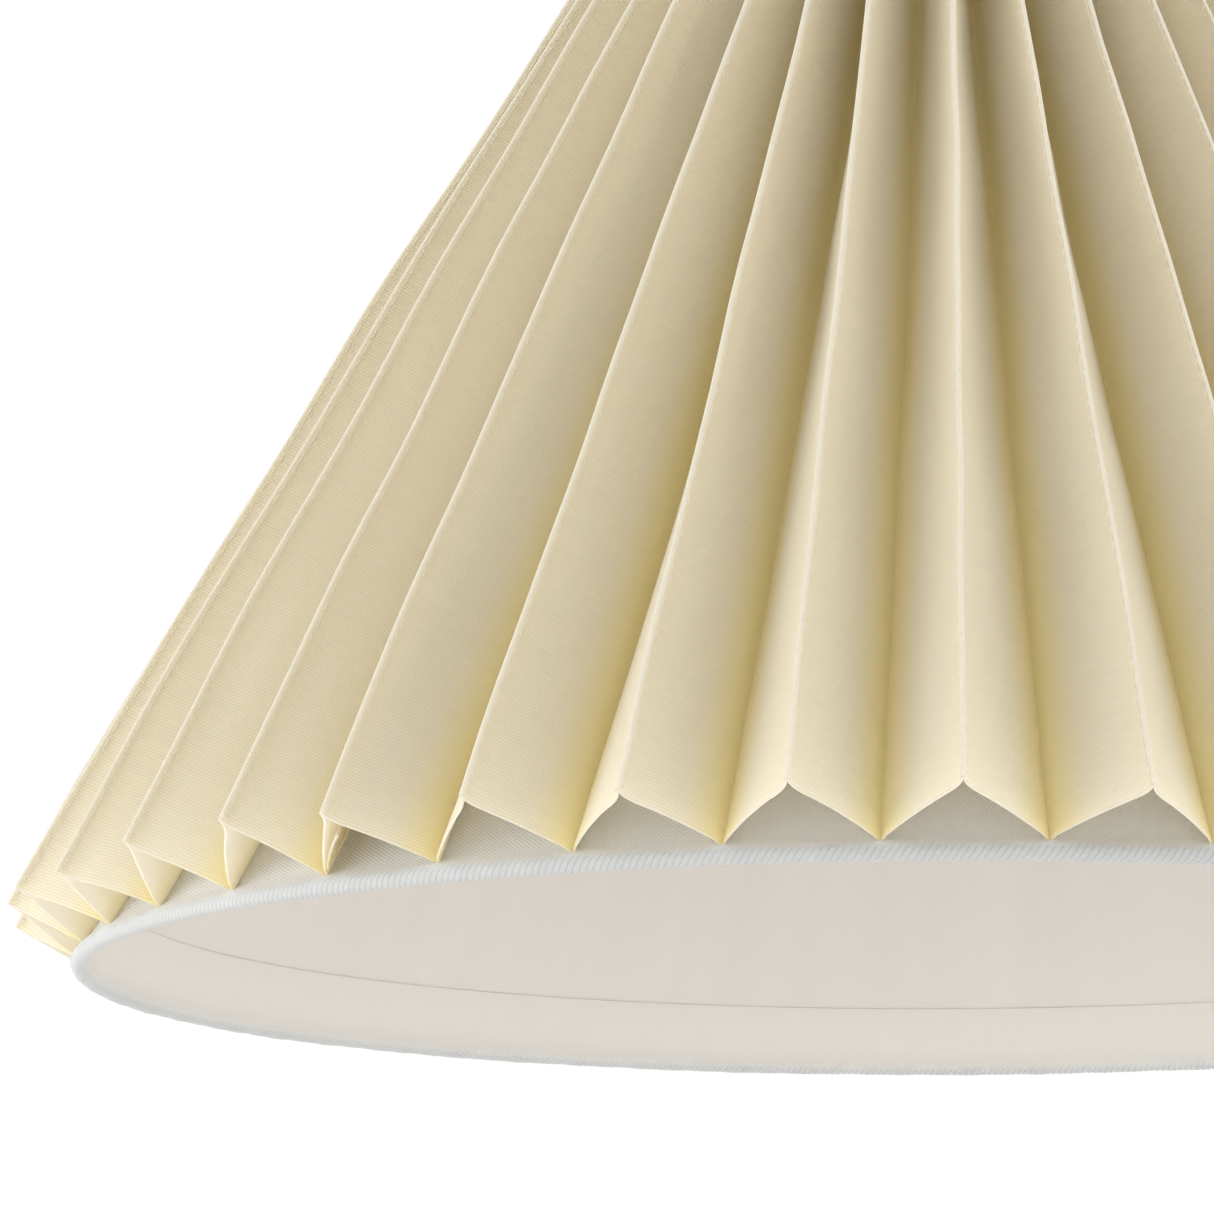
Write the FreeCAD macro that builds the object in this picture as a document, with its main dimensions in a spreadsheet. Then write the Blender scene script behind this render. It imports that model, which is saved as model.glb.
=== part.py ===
import FreeCAD, Part
import Sketcher
import math
import os

# Pleated cone lamp shade.  Millimetres, +Z up.
# Origin: centre of the mouth, on the plane the rim rests on.

V = FreeCAD.Vector
doc = FreeCAD.newDocument("lamp_shade")

# ---------------------------------------------------------------- driving sizes
sheet = doc.addObject("Spreadsheet::Sheet", "sizes")

DRIVING = [
    ("mouth_radius", "137.5", "centre of the bottom wire"),
    ("slope_deg", "31.5", "angle of the cone side from the vertical"),
    ("slant", "190", "bottom wire centre to top wire centre, along the side"),
    ("wire_radius", "1.0", "round wire of both rings"),
    ("cloth_thick", "0.3", "lining cloth"),
    ("film_thick", "0.3", "hardback film"),
    ("layer_gap", "0.02", "glue line between layers"),
    ("hem_width", "10.5", "cloth turned in past the wires"),
    ("film_margin", "1.5", "film edge to wire centre, along the side"),
    ("pleat_count", "39", "pleats round the shade"),
    ("pleat_wall", "17.5", "width of one pleat wall, fold to fold"),
    ("cover_thick", "0.4", "laminated cover cloth"),
    ("cover_margin", "1.3", "cover edge to wire centre, along the side"),
    ("lip_height", "1.9", "double layer pressed flat at each crest"),
    ("thread_radius", "0.14", "crest seam thread"),
    ("seam_depth", "0.7", "seam below the crest edge"),
    ("arm_radius", "1.1", "drop arm wire"),
    ("arm_circle", "30.2", "radius the arms hang at"),
    ("arm_bend", "4", "bend radius of an arm"),
    ("fitter_height", "34", "middle of the fitter ring above the rest plane"),
    ("fitter_bore", "14.5", "bore radius of the fitter ring"),
    ("fitter_rim", "19.5", "outside radius of the fitter ring"),
    ("fitter_thick", "2.0", "thickness of the fitter ring"),
    ("fitter_round", "0.4", "rounded edges of the fitter ring"),
]

DERIVED = [
    ("roll_radius", "=wire_radius + cloth_thick"),
    ("mouth_height", "=wire_radius + cloth_thick"),
    ("side_run", "=slant * sin(slope_deg * 1deg)"),
    ("side_rise", "=slant * cos(slope_deg * 1deg)"),
    ("throat_radius", "=mouth_radius - side_run"),
    ("throat_height", "=mouth_height + side_rise"),
    ("layer_near", "=film_thick / 2 + layer_gap"),
    ("layer_far", "=film_thick / 2 + layer_gap + cloth_thick"),
    ("cover_base", "=film_thick / 2 + 2 * layer_gap + cloth_thick"),
]

row = 1
for name, value, note in DRIVING:
    sheet.set("A%d" % row, name)
    sheet.set("B%d" % row, value)
    sheet.set("C%d" % row, note)
    sheet.setAlias("B%d" % row, name)
    row += 1
for name, formula in DERIVED:
    sheet.set("A%d" % row, name)
    sheet.set("B%d" % row, formula)
    sheet.setAlias("B%d" % row, name)
    row += 1
doc.recompute()


def size(name):
    """A size from the sheet, as a plain number."""
    value = sheet.get(name)
    return float(getattr(value, "Value", value))


def bind(thing, **formulas):
    """Bind properties of a document object to the sheet."""
    for prop, formula in formulas.items():
        thing.setExpression(prop, formula)


def add(kind, label, **formulas):
    """A Part primitive bound to the sheet."""
    thing = doc.addObject(kind, label)
    thing.Label = label
    bind(thing, **formulas)
    return thing


def turned(angle):
    """Placement turned about the shade's axis."""
    return FreeCAD.Placement(V(0, 0, 0), FreeCAD.Rotation(V(0, 0, 1), angle))


# ------------------------------------------------------------------ wire rings
def ring(label, radius, height, tube):
    """Torus lying flat at a height."""
    return add("Part::Torus", label, **{
        "Radius1": radius,
        "Radius2": tube,
        "Placement.Base.z": height,
    })


bottom_ring = ring("bottom_ring", "sizes.mouth_radius * 1mm",
                   "sizes.mouth_height * 1mm", "sizes.wire_radius * 1mm")
top_ring = ring("top_ring", "sizes.throat_radius * 1mm",
                "sizes.throat_height * 1mm", "sizes.wire_radius * 1mm")


# ------------------------------------------------------------------ cone layers
def cone(label, start, length, offset):
    """Solid cone frustum whose side is parallel to the shade's side.

    start and length run along the side from the bottom wire centre;
    offset is square to the side, positive outward.
    """
    radius = "sizes.mouth_radius - (%s) * sin(sizes.slope_deg * 1deg)"
    lift = " + (%s) / cos(sizes.slope_deg * 1deg)" % offset
    low = "(" + radius % start + lift + ") * 1mm"
    high = "(" + radius % ("%s + %s" % (start, length)) + lift + ") * 1mm"
    rise = "(%s) * cos(sizes.slope_deg * 1deg) * 1mm" % length
    foot = "(sizes.mouth_height + (%s) * cos(sizes.slope_deg * 1deg)) * 1mm" % start
    return add("Part::Cone", label, **{
        "Radius1": low,
        "Radius2": high,
        "Height": rise,
        "Placement.Base.z": foot,
    })


def cut(label, base, tool):
    """Base minus tool."""
    thing = doc.addObject("Part::Cut", label)
    thing.Label = label
    thing.Base = base
    thing.Tool = tool
    return thing


def fuse(label, shapes):
    """Union of several objects."""
    thing = doc.addObject("Part::MultiFuse", label)
    thing.Label = label
    thing.Shapes = shapes
    return thing


def cone_layer(label, start, length, inner, outer):
    """Thin conical sheet between two offsets from the side."""
    outside = cone(label + "_outside", start, length, outer)
    inside = cone(label + "_inside", start, length, inner)
    return cut(label, outside, inside)


liner_film = cone_layer("liner_film", "sizes.film_margin",
                        "sizes.slant - 2 * sizes.film_margin",
                        "-sizes.film_thick / 2", "sizes.film_thick / 2")


# ------------------------------------------- lining cloth, rolled over the wires
def roll(label, radius, height):
    """Tube of cloth wrapped round a wire."""
    outside = ring(label + "_outside", radius, height, "sizes.roll_radius * 1mm")
    inside = ring(label + "_inside", radius, height, "sizes.wire_radius * 1mm")
    return cut(label, outside, inside)


cloth_side = cone_layer("cloth_side", "sizes.wire_radius",
                        "sizes.slant - 2 * sizes.wire_radius",
                        "sizes.layer_near", "sizes.layer_far")
cloth_hem_low = cone_layer("cloth_hem_low", "sizes.wire_radius", "sizes.hem_width",
                           "-sizes.layer_far", "-sizes.layer_near")
cloth_hem_high = cone_layer("cloth_hem_high",
                            "sizes.slant - sizes.wire_radius - sizes.hem_width",
                            "sizes.hem_width",
                            "-sizes.layer_far", "-sizes.layer_near")
cloth_roll_low = roll("cloth_roll_low", "sizes.mouth_radius * 1mm",
                      "sizes.mouth_height * 1mm")
cloth_roll_high = roll("cloth_roll_high", "sizes.throat_radius * 1mm",
                       "sizes.throat_height * 1mm")
cloth_whole = fuse("cloth_whole", [cloth_side, cloth_hem_low, cloth_hem_high,
                                   cloth_roll_low, cloth_roll_high])

ARM_TURNS = [30, 150, 270]

# Slits in the top roll, one where each drop arm leaves the top ring.
slits = []
for index, angle in enumerate(ARM_TURNS):
    slit = add("Part::Cylinder", "slit_%d" % (index + 1), **{
        "Radius": "(sizes.arm_radius + 0.15) * 1mm",
        "Height": "sizes.throat_radius * 1mm",
        "Placement.Base.z": "sizes.throat_height * 1mm",
    })
    slit.Placement = FreeCAD.Placement(
        V(0, 0, size("throat_height")),
        FreeCAD.Rotation(V(0, 0, 1), angle) * FreeCAD.Rotation(V(0, 1, 0), 90))
    slits.append(slit)
liner_fabric = cut("liner_fabric", cloth_whole, fuse("slits", slits))


# ----------------------------------------------------------------- fitter ring
fitter_body = doc.addObject("PartDesign::Body", "fitter_ring")
fitter_body.Label = "fitter_ring"
section = fitter_body.newObject("Sketcher::SketchObject", "fitter_section")
section.AttachmentSupport = [(fitter_body.Origin.OriginFeatures[4], "")]
section.MapMode = "FlatFace"


def place_line(sketch, start, end):
    """Line between two points given as numbers."""
    return sketch.addGeometry(Part.LineSegment(V(start[0], start[1], 0),
                                               V(end[0], end[1], 0)), False)


low = size("fitter_height") - size("fitter_thick") / 2
high = size("fitter_height") + size("fitter_thick") / 2
corners = [
    ((size("fitter_bore"), low), "sizes.fitter_bore * 1mm",
     "(sizes.fitter_height - sizes.fitter_thick / 2) * 1mm"),
    ((size("fitter_rim"), low), "sizes.fitter_rim * 1mm",
     "(sizes.fitter_height - sizes.fitter_thick / 2) * 1mm"),
    ((size("fitter_rim"), high), "sizes.fitter_rim * 1mm",
     "(sizes.fitter_height + sizes.fitter_thick / 2) * 1mm"),
    ((size("fitter_bore"), high), "sizes.fitter_bore * 1mm",
     "(sizes.fitter_height + sizes.fitter_thick / 2) * 1mm"),
]
lines = []
for index in range(4):
    lines.append(place_line(section, corners[index][0], corners[(index + 1) % 4][0]))
for index in range(4):
    section.addConstraint(Sketcher.Constraint("Coincident", lines[index], 2,
                                              lines[(index + 1) % 4], 1))
for index in range(4):
    section.addConstraint(Sketcher.Constraint("DistanceX", -1, 1, lines[index], 1,
                                              corners[index][0][0]))
    section.setExpression("Constraints[%d]" % (section.ConstraintCount - 1),
                          corners[index][1])
    section.addConstraint(Sketcher.Constraint("DistanceY", -1, 1, lines[index], 1,
                                              corners[index][0][1]))
    section.setExpression("Constraints[%d]" % (section.ConstraintCount - 1),
                          corners[index][2])
doc.recompute()
turning = fitter_body.newObject("PartDesign::Revolution", "fitter_turning")
turning.Profile = section
turning.ReferenceAxis = (section, ["V_Axis"])
turning.Angle = 360
doc.recompute()
rounding = fitter_body.newObject("PartDesign::Fillet", "fitter_rounding")
rounding.Base = (turning, ["Edge%d" % (n + 1) for n, edge in enumerate(turning.Shape.Edges)
                           if isinstance(edge.Curve, Part.Circle) and edge.Length > 50])
bind(rounding, Radius="sizes.fitter_round * 1mm")
fitter_body.Tip = rounding
doc.recompute()


# ------------------------------------------------------------------- drop arms
def arm(number, angle):
    """Round wire: in from the top ring, straight down, in to the fitter ring."""
    body = doc.addObject("PartDesign::Body", "arm_%d_wire" % number)
    body.Label = "arm_%d_wire" % number
    path = body.newObject("Sketcher::SketchObject", "arm_%d_path" % number)
    path.AttachmentSupport = [(body.Origin.OriginFeatures[4], "")]
    path.MapMode = "FlatFace"
    top = size("throat_height")
    foot = size("fitter_height")
    out = size("throat_radius")
    hang = size("arm_circle")
    bend = size("arm_bend")
    near = size("fitter_rim") - 0.5
    points = [(out, top), (hang + bend, top), (hang, top - bend),
              (hang, foot + bend), (hang - bend, foot), (near, foot)]
    words = [
        ("sizes.throat_radius * 1mm", "sizes.throat_height * 1mm"),
        ("(sizes.arm_circle + sizes.arm_bend) * 1mm", "sizes.throat_height * 1mm"),
        ("sizes.arm_circle * 1mm", "(sizes.throat_height - sizes.arm_bend) * 1mm"),
        ("sizes.arm_circle * 1mm", "(sizes.fitter_height + sizes.arm_bend) * 1mm"),
        ("(sizes.arm_circle - sizes.arm_bend) * 1mm", "sizes.fitter_height * 1mm"),
        ("(sizes.fitter_rim - 0.5) * 1mm", "sizes.fitter_height * 1mm"),
    ]
    legs = [place_line(path, points[0], points[1]),
            place_line(path, points[2], points[3]),
            place_line(path, points[4], points[5])]
    for leg_index, leg in enumerate(legs):
        for end in (1, 2):
            spot = 2 * leg_index + end - 1
            path.addConstraint(Sketcher.Constraint("DistanceX", -1, 1, leg, end,
                                                   points[spot][0]))
            path.setExpression("Constraints[%d]" % (path.ConstraintCount - 1),
                               words[spot][0])
            path.addConstraint(Sketcher.Constraint("DistanceY", -1, 1, leg, end,
                                                   points[spot][1]))
            path.setExpression("Constraints[%d]" % (path.ConstraintCount - 1),
                               words[spot][1])
    # Upper bend: centre below the top leg's inner end.
    upper = path.addGeometry(Part.ArcOfCircle(
        Part.Circle(V(hang + bend, top - bend, 0), V(0, 0, 1), bend),
        math.pi / 2, math.pi), False)
    path.addConstraint(Sketcher.Constraint("Coincident", upper, 1, legs[0], 2))
    path.addConstraint(Sketcher.Constraint("Coincident", upper, 2, legs[1], 1))
    # Lower bend: centre inside the hanging leg's foot.
    lower = path.addGeometry(Part.ArcOfCircle(
        Part.Circle(V(hang - bend, foot + bend, 0), V(0, 0, 1), bend),
        -math.pi / 2, 0), False)
    path.addConstraint(Sketcher.Constraint("Coincident", lower, 1, legs[2], 1))
    path.addConstraint(Sketcher.Constraint("Coincident", lower, 2, legs[1], 2))
    for curve in (upper, lower):
        path.addConstraint(Sketcher.Constraint("Radius", curve, bend))
        path.setExpression("Constraints[%d]" % (path.ConstraintCount - 1),
                           "sizes.arm_bend * 1mm")
    round_wire = body.newObject("Sketcher::SketchObject", "arm_%d_section" % number)
    round_wire.AttachmentSupport = [(body.Origin.OriginFeatures[5], "")]
    round_wire.MapMode = "FlatFace"
    round_wire.AttachmentOffset = FreeCAD.Placement(V(0, 0, out), FreeCAD.Rotation())
    bind(round_wire, **{"AttachmentOffset.Base.z": "sizes.throat_radius * 1mm"})
    circle = round_wire.addGeometry(Part.Circle(V(0, top, 0), V(0, 0, 1),
                                                size("arm_radius")), False)
    round_wire.addConstraint(Sketcher.Constraint("Radius", circle, size("arm_radius")))
    round_wire.setExpression("Constraints[0]", "sizes.arm_radius * 1mm")
    round_wire.addConstraint(Sketcher.Constraint("PointOnObject", circle, 3, -2))
    round_wire.addConstraint(Sketcher.Constraint("DistanceY", -1, 1, circle, 3, top))
    round_wire.setExpression("Constraints[2]", "sizes.throat_height * 1mm")
    doc.recompute()
    pipe = body.newObject("PartDesign::AdditivePipe", "arm_%d_pipe" % number)
    pipe.Profile = round_wire
    pipe.Spine = path
    body.Tip = pipe
    body.Placement = turned(angle)
    doc.recompute()
    return cut("arm_%d" % number, body, arm_ends)


# The arm ends are shaped to the round top wire and to the fitter ring's edge.
fitter_blank = add("Part::Cylinder", "fitter_blank", **{
    "Radius": "sizes.fitter_rim * 1mm",
    "Height": "sizes.fitter_thick * 2 * 1mm",
    "Placement.Base.z": "(sizes.fitter_height - sizes.fitter_thick) * 1mm",
})
throat_blank = add("Part::Torus", "throat_blank", **{
    "Radius1": "sizes.throat_radius * 1mm",
    "Radius2": "sizes.wire_radius * 1mm",
    "Placement.Base.z": "sizes.throat_height * 1mm",
})
arm_ends = fuse("arm_ends", [fitter_blank, throat_blank])
arms = [arm(index + 1, angle) for index, angle in enumerate(ARM_TURNS)]
doc.recompute()

# --------------------------------------------------------------- pleated cover
# One strip folded into sharp pleats.  A pleat wall keeps its full width from
# mouth to throat, so the pleats stand taller where the cone narrows.
SLOPE = math.radians(size("slope_deg"))
COUNT = int(size("pleat_count"))
PITCH_ANGLE = 2 * math.pi / COUNT
FIRST_CREST = -math.pi / 2


def side_point(along, off, angle, across=0.0):
    """Point at a distance along the side, square off it and across it."""
    radius = size("mouth_radius") - along * math.sin(SLOPE) + off * math.cos(SLOPE)
    height = size("mouth_height") + along * math.cos(SLOPE) + off * math.sin(SLOPE)
    return V(radius * math.cos(angle) - across * math.sin(angle),
             radius * math.sin(angle) + across * math.cos(angle), height)


def pleat_station(along):
    """Offsets of one pleat's folds at a distance along the side."""
    base = size("cover_base")
    thick = size("cover_thick")
    lip = size("lip_height")
    half_lip = thick + 0.02
    radius = size("mouth_radius") - along * math.sin(SLOPE) + base * math.cos(SLOPE)
    half_pitch = math.pi * radius / COUNT
    depth = math.sqrt(size("pleat_wall") ** 2 - half_pitch ** 2)
    valley = 1.1 * thick
    lean = math.atan((half_pitch - half_lip) / (depth - lip - valley))
    foot = max(0.06, thick / math.cos(lean) - valley * math.tan(lean))
    inside = valley + (half_pitch - thick / math.cos(lean)) / math.tan(lean)
    return {
        "valley": base + valley,
        "foot": foot,
        "base": base,
        "lip_base": base + depth - lip,
        "crest": base + depth,
        "inside": base + min(inside, depth - lip - 0.2),
        "half_lip": half_lip,
    }


def pleat_points(along, angle):
    """Named corner points of the pleat whose crest stands at an angle."""
    size_at = pleat_station(along)
    before = angle - PITCH_ANGLE / 2
    after = angle + PITCH_ANGLE / 2
    wide = size_at["half_lip"]
    return {
        "v0": side_point(along, size_at["valley"], before),
        "v1": side_point(along, size_at["valley"], after),
        "b0": side_point(along, size_at["lip_base"], angle, -wide),
        "b1": side_point(along, size_at["lip_base"], angle, wide),
        "c0": side_point(along, size_at["crest"], angle, -wide),
        "c1": side_point(along, size_at["crest"], angle, wide),
        "i0": side_point(along, size_at["base"], before, size_at["foot"]),
        "i1": side_point(along, size_at["base"], after, -size_at["foot"]),
        "j0": side_point(along, size_at["base"], before, -size_at["foot"]),
        "a": side_point(along, size_at["inside"], angle),
    }


def triangle(p, q, r):
    """Flat three-cornered face."""
    return Part.Face(Part.makePolygon([p, q, r, p]))


def panel(p, q, r, s):
    """Four-cornered panel, as two flat faces that share the line p-r."""
    return [triangle(p, q, r), triangle(p, r, s)]


LOW_EDGE = size("cover_margin")
HIGH_EDGE = size("slant") - size("cover_margin")
STRIPS = [("v0", "b0"), ("b0", "c0"), ("c0", "c1"), ("c1", "b1"), ("b1", "v1"),
          ("i0", "a"), ("a", "i1"), ("j0", "i0")]


def pleat_faces(angle):
    """All faces of one pleat, from valley to valley."""
    low_points = pleat_points(LOW_EDGE, angle)
    high_points = pleat_points(HIGH_EDGE, angle)
    faces = []
    for first, second in STRIPS:
        faces += panel(low_points[first], low_points[second],
                       high_points[second], high_points[first])
    for points in (low_points, high_points):
        faces += panel(points["v0"], points["b0"], points["a"], points["i0"])
        faces += panel(points["v1"], points["b1"], points["a"], points["i1"])
        faces += panel(points["b0"], points["b1"], points["c1"], points["c0"])
        faces.append(triangle(points["b0"], points["b1"], points["a"]))
        faces.append(triangle(points["j0"], points["i0"], points["v0"]))
    return faces


cover_faces = []
for index in range(COUNT):
    cover_faces += pleat_faces(FIRST_CREST + index * PITCH_ANGLE)
cover_skin = Part.makeCompound(cover_faces)
cover_skin.sewShape(0.001)
cover_solid = Part.Solid(Part.Shell(cover_skin.Faces))
if cover_solid.Volume < 0:
    cover_solid.reverse()
pleated_cover = doc.addObject("Part::Feature", "pleated_cover")
pleated_cover.Label = "pleated_cover"
pleated_cover.Shape = cover_solid
pleated_cover.Placement = turned(0)

# --------------------------------------------------------------- crest seams
# Needle thread and bobbin thread of each seam, one on either face of the lip.
THREAD_GAP = 0.02


def seam_end(along, angle, side):
    """Centre of the seam thread beside a crest."""
    size_at = pleat_station(along)
    off = size_at["crest"] - size("seam_depth")
    away = size_at["half_lip"] + size("thread_radius") + THREAD_GAP
    return side_point(along, off, angle, side * away)


threads = []
for index in range(COUNT):
    crest_angle = FIRST_CREST + index * PITCH_ANGLE
    for side in (-1, 1):
        start = seam_end(LOW_EDGE + 1.0, crest_angle, side)
        end = seam_end(HIGH_EDGE - 1.0, crest_angle, side)
        run = end - start
        threads.append(Part.makeCylinder(size("thread_radius"), run.Length, start, run))
crest_stitching = doc.addObject("Part::Feature", "crest_stitching")
crest_stitching.Label = "crest_stitching"
crest_stitching.Shape = Part.makeCompound(threads)
crest_stitching.Placement = turned(0)

doc.recompute()

# ------------------------------------------------------------------- write out
NODES = [bottom_ring, top_ring, liner_film, liner_fabric, fitter_body,
         pleated_cover, crest_stitching] + arms

for thing in doc.Objects:
    for bad in ("Invalid", "Error"):
        if bad in thing.State:
            raise RuntimeError("%s is %s" % (thing.Label, thing.State))
os.makedirs("parts", exist_ok=True)
for node in NODES:
    if node.Shape.isNull() or not node.Shape.isValid():
        raise RuntimeError("bad shape: " + node.Label)
    node.Shape.exportStep("parts/%s.step" % node.Label)
    box = node.Shape.BoundBox
    print("%-16s solids %3d  %.1f x %.1f x %.1f  z %.1f..%.1f" % (
        node.Label, len(node.Shape.Solids), box.XLength, box.YLength, box.ZLength,
        box.ZMin, box.ZMax))
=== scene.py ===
import math
import bmesh
import bpy
import numpy as np
from mathutils import Matrix, Vector


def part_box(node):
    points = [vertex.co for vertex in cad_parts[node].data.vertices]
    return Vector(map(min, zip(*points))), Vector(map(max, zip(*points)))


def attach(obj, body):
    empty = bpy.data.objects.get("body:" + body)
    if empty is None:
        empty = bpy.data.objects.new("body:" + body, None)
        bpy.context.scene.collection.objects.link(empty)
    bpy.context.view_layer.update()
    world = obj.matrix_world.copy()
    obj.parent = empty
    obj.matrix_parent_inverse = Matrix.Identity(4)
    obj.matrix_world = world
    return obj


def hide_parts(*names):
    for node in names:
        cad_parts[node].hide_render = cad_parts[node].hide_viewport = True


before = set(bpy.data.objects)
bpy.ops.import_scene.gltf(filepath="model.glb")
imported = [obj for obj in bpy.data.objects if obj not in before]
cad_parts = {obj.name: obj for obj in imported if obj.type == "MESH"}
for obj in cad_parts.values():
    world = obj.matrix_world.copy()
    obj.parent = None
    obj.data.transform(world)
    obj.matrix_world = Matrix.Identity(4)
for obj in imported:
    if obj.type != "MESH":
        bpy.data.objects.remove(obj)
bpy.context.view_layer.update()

MM = 0.001
scene = bpy.context.scene
scene.view_settings.view_transform = "Standard"
scene.view_settings.look = "None"

# ---------------------------------------------------------------- camera
# Long lens from a little below the rim, looking up and slightly to the left.
CAMERA_AT = (0.0, -0.9682, -0.1185)
CAMERA_PAN = math.radians(3.20)
CAMERA_TILT = math.radians(90 + 10.50)
CAMERA_ROLL = math.radians(0.18)
camera_data = bpy.data.cameras.new("camera")
camera_data.sensor_width = 36.0
camera_data.lens = 180.9
camera_data.clip_start = 0.05
camera_data.clip_end = 50.0
camera = bpy.data.objects.new("camera", camera_data)
scene.collection.objects.link(camera)
camera.matrix_world = (
    Matrix.Translation(CAMERA_AT)
    @ Matrix.Rotation(CAMERA_PAN, 4, "Z")
    @ Matrix.Rotation(CAMERA_TILT, 4, "X")
    @ Matrix.Rotation(CAMERA_ROLL, 4, "Z")
)
scene.camera = camera

# ---------------------------------------------------------------- sizes from the frame
low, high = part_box("bottom_ring")
WIRE = (high[2] - low[2]) / 2 / MM
MOUTH_Z = (high[2] + low[2]) / 2 / MM
MOUTH_R = (high[0] - low[0]) / 2 / MM - WIRE
low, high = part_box("top_ring")
TOP_Z = (high[2] + low[2]) / 2 / MM
TOP_R = (high[0] - low[0]) / 2 / MM - WIRE
SLOPE = math.atan2(MOUTH_R - TOP_R, TOP_Z - MOUTH_Z)
SLANT = math.hypot(MOUTH_R - TOP_R, TOP_Z - MOUTH_Z)
SIN, COS = math.sin(SLOPE), math.cos(SLOPE)

PLEATS = 39
WALL = 17.5          # pleat wall, fold to fold
CLOTH = 0.4          # cover thickness
BASE = 0.49          # foot of the pleats, square off the middle of the film
EDGE = 1.3           # cover edge to wire centre
LIP = 1.7            # double layer at each crest, fold to where the walls part
FULL_TURN = 2 * math.pi
PITCH = FULL_TURN / PLEATS

rng = np.random.default_rng(27)


def side(s, n, az, across=0.0):
    """Points s along the side from the bottom wire and n square off the film's middle.

    They stand at azimuth az and are moved sideways by across.  Azimuth 0 faces -Y and
    grows towards -X.  Everything here is in millimetres.
    """
    r = MOUTH_R - s * SIN + n * COS
    z = MOUTH_Z + s * COS + n * SIN
    sa, ca = np.sin(az), np.cos(az)
    return np.stack([-r * sa - across * ca, -r * ca + across * sa, z + 0 * az], axis=-1)


def smooth_noise(count, x, waves, random):
    """count smooth random curves over x, made of a few sines; about +-1."""
    out = np.zeros((count, len(x)))
    for length in waves:
        phase = random.uniform(0, FULL_TURN, (count, 1))
        stretch = random.uniform(0.8, 1.25, (count, 1))
        out += np.sin(FULL_TURN * x[None, :] / (length * stretch) + phase)
    return out / math.sqrt(len(waves))


def edged(rows, inset=0.1):
    """The same rows with one more close to each end, so cut edges stay crisp."""
    ends = (rows[:1], rows[:1] + inset, rows[1:-1], rows[-1:] - inset, rows[-1:])
    return np.concatenate(ends)


def make_mesh(name, points, rows_closed, cols_closed, uv):
    """Quad mesh over a grid of points [row, column], with uv [row, column+closed]."""
    rows, cols = points.shape[:2]
    verts = points.reshape(-1, 3) * MM
    r = np.arange(rows if rows_closed else rows - 1)
    c = np.arange(cols if cols_closed else cols - 1)
    rr, cc = np.meshgrid(r, c, indexing="ij")
    r2, c2 = (rr + 1) % rows, (cc + 1) % cols
    faces = np.stack([rr * cols + cc, rr * cols + c2, r2 * cols + c2, r2 * cols + cc], -1)
    faces = faces.reshape(-1, 4)
    mesh = bpy.data.meshes.new(name)
    mesh.vertices.add(len(verts))
    mesh.vertices.foreach_set("co", verts.astype(np.float32).ravel())
    mesh.loops.add(faces.size)
    mesh.loops.foreach_set("vertex_index", faces.astype(np.int32).ravel())
    mesh.polygons.add(len(faces))
    mesh.polygons.foreach_set("loop_start", np.arange(0, faces.size, 4, dtype=np.int32))
    mesh.update(calc_edges=True)
    layer = mesh.uv_layers.new(name="cloth")
    corner = np.stack([uv[rr, cc], uv[rr, cc + 1], uv[rr + 1, cc + 1], uv[rr + 1, cc]], -2)
    layer.data.foreach_set("uv", corner.astype(np.float32).ravel())
    mesh.polygons.foreach_set("use_smooth", np.ones(len(faces), dtype=bool))
    mesh.validate()
    obj = bpy.data.objects.new(name, mesh)
    scene.collection.objects.link(obj)
    return obj


# ---------------------------------------------------------------- pleated cover
ROWS = 26
FOLD = (0.0, 0.1, 0.25, 0.45, 0.7, 1.0)                 # round the valley fold
RUN = (0.07, 0.16, 0.26, 0.36, 0.46, 0.56, 0.66, 0.74)
FLARE = (0.0, 0.2, 0.4, 0.6, 0.8, 1.0)                  # where the wall bends into the lip
ARC = (0.0, 0.35, 0.7)                                  # round over the crest

# Irregularity of the visible pleats, given one by one: where a crest stands at the mouth and
# how far it leans by the top, in degrees, and how far its cut edge stands in from the
# mouth, in millimetres.  The other pleats vary at random.
FOOT_DRIFT = {-2: -0.8, -1: -0.8, 0: 0, 1: 0, 2: 0, 3: 0, 4: 0, 5: -1.0, 6: -0.6,
              7: -1.3, 8: -0.8, 9: -0.6, 10: -0.8}
LEAN = {-6: 1.0, -5: 2.0, -4: 3.0, -3: 2.0, -2: 1.7, -1: 1.0, 0: -1.0, 1: 0.2,
        2: -1.6, 3: -2.5, 4: 0, 5: 1.1, 6: 2.0, 7: 2.2, 8: 0.8, 9: 0.3}
CUT_DRIFT = {-1: -1.0, 0: -0.3, 1: 0, 2: -0.6, 3: 0, 4: -0.5, 5: 0.8, 6: 0.6, 7: -1.4}

pleat = np.arange(PLEATS)
LAST_LEFT = 24       # pleats past this one are counted backwards from pleat 0
signed = np.where(pleat > LAST_LEFT, pleat - PLEATS, pleat)


def hand_or_random(by_hand, spread):
    """One value per pleat: the listed one, or else a random one within the spread."""
    drawn = rng.uniform(-spread, spread, PLEATS)
    return np.array([by_hand.get(int(k), drawn[i]) for i, k in enumerate(signed)])


foot = hand_or_random(FOOT_DRIFT, 0.5)
lean = hand_or_random(LEAN, 0.8)
cut = hand_or_random(CUT_DRIFT, 0.5)

CROWDING = 0.35      # how much closer together the rows are at the mouth
rows_u = np.linspace(0, 1, ROWS - 2)
rows_u = rows_u + CROWDING * (rows_u - rows_u ** 2) * (rows_u - 1)
along = edged(EDGE + rows_u * (SLANT - 2 * EDGE))

FIRST_CREST = -1.0   # azimuth of pleat 0, degrees
CREST_OUT = 14       # about how far the crests stand off the side
CREST_WANDER = 0.11
DEPTH_WANDER = 0.22
VALLEY_WANDER = 0.08
# Where the crests stand out a little more: distance along the side, width, height.
SWELLS = ((38, 34, 1.0), (105, 38, 0.8))


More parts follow.
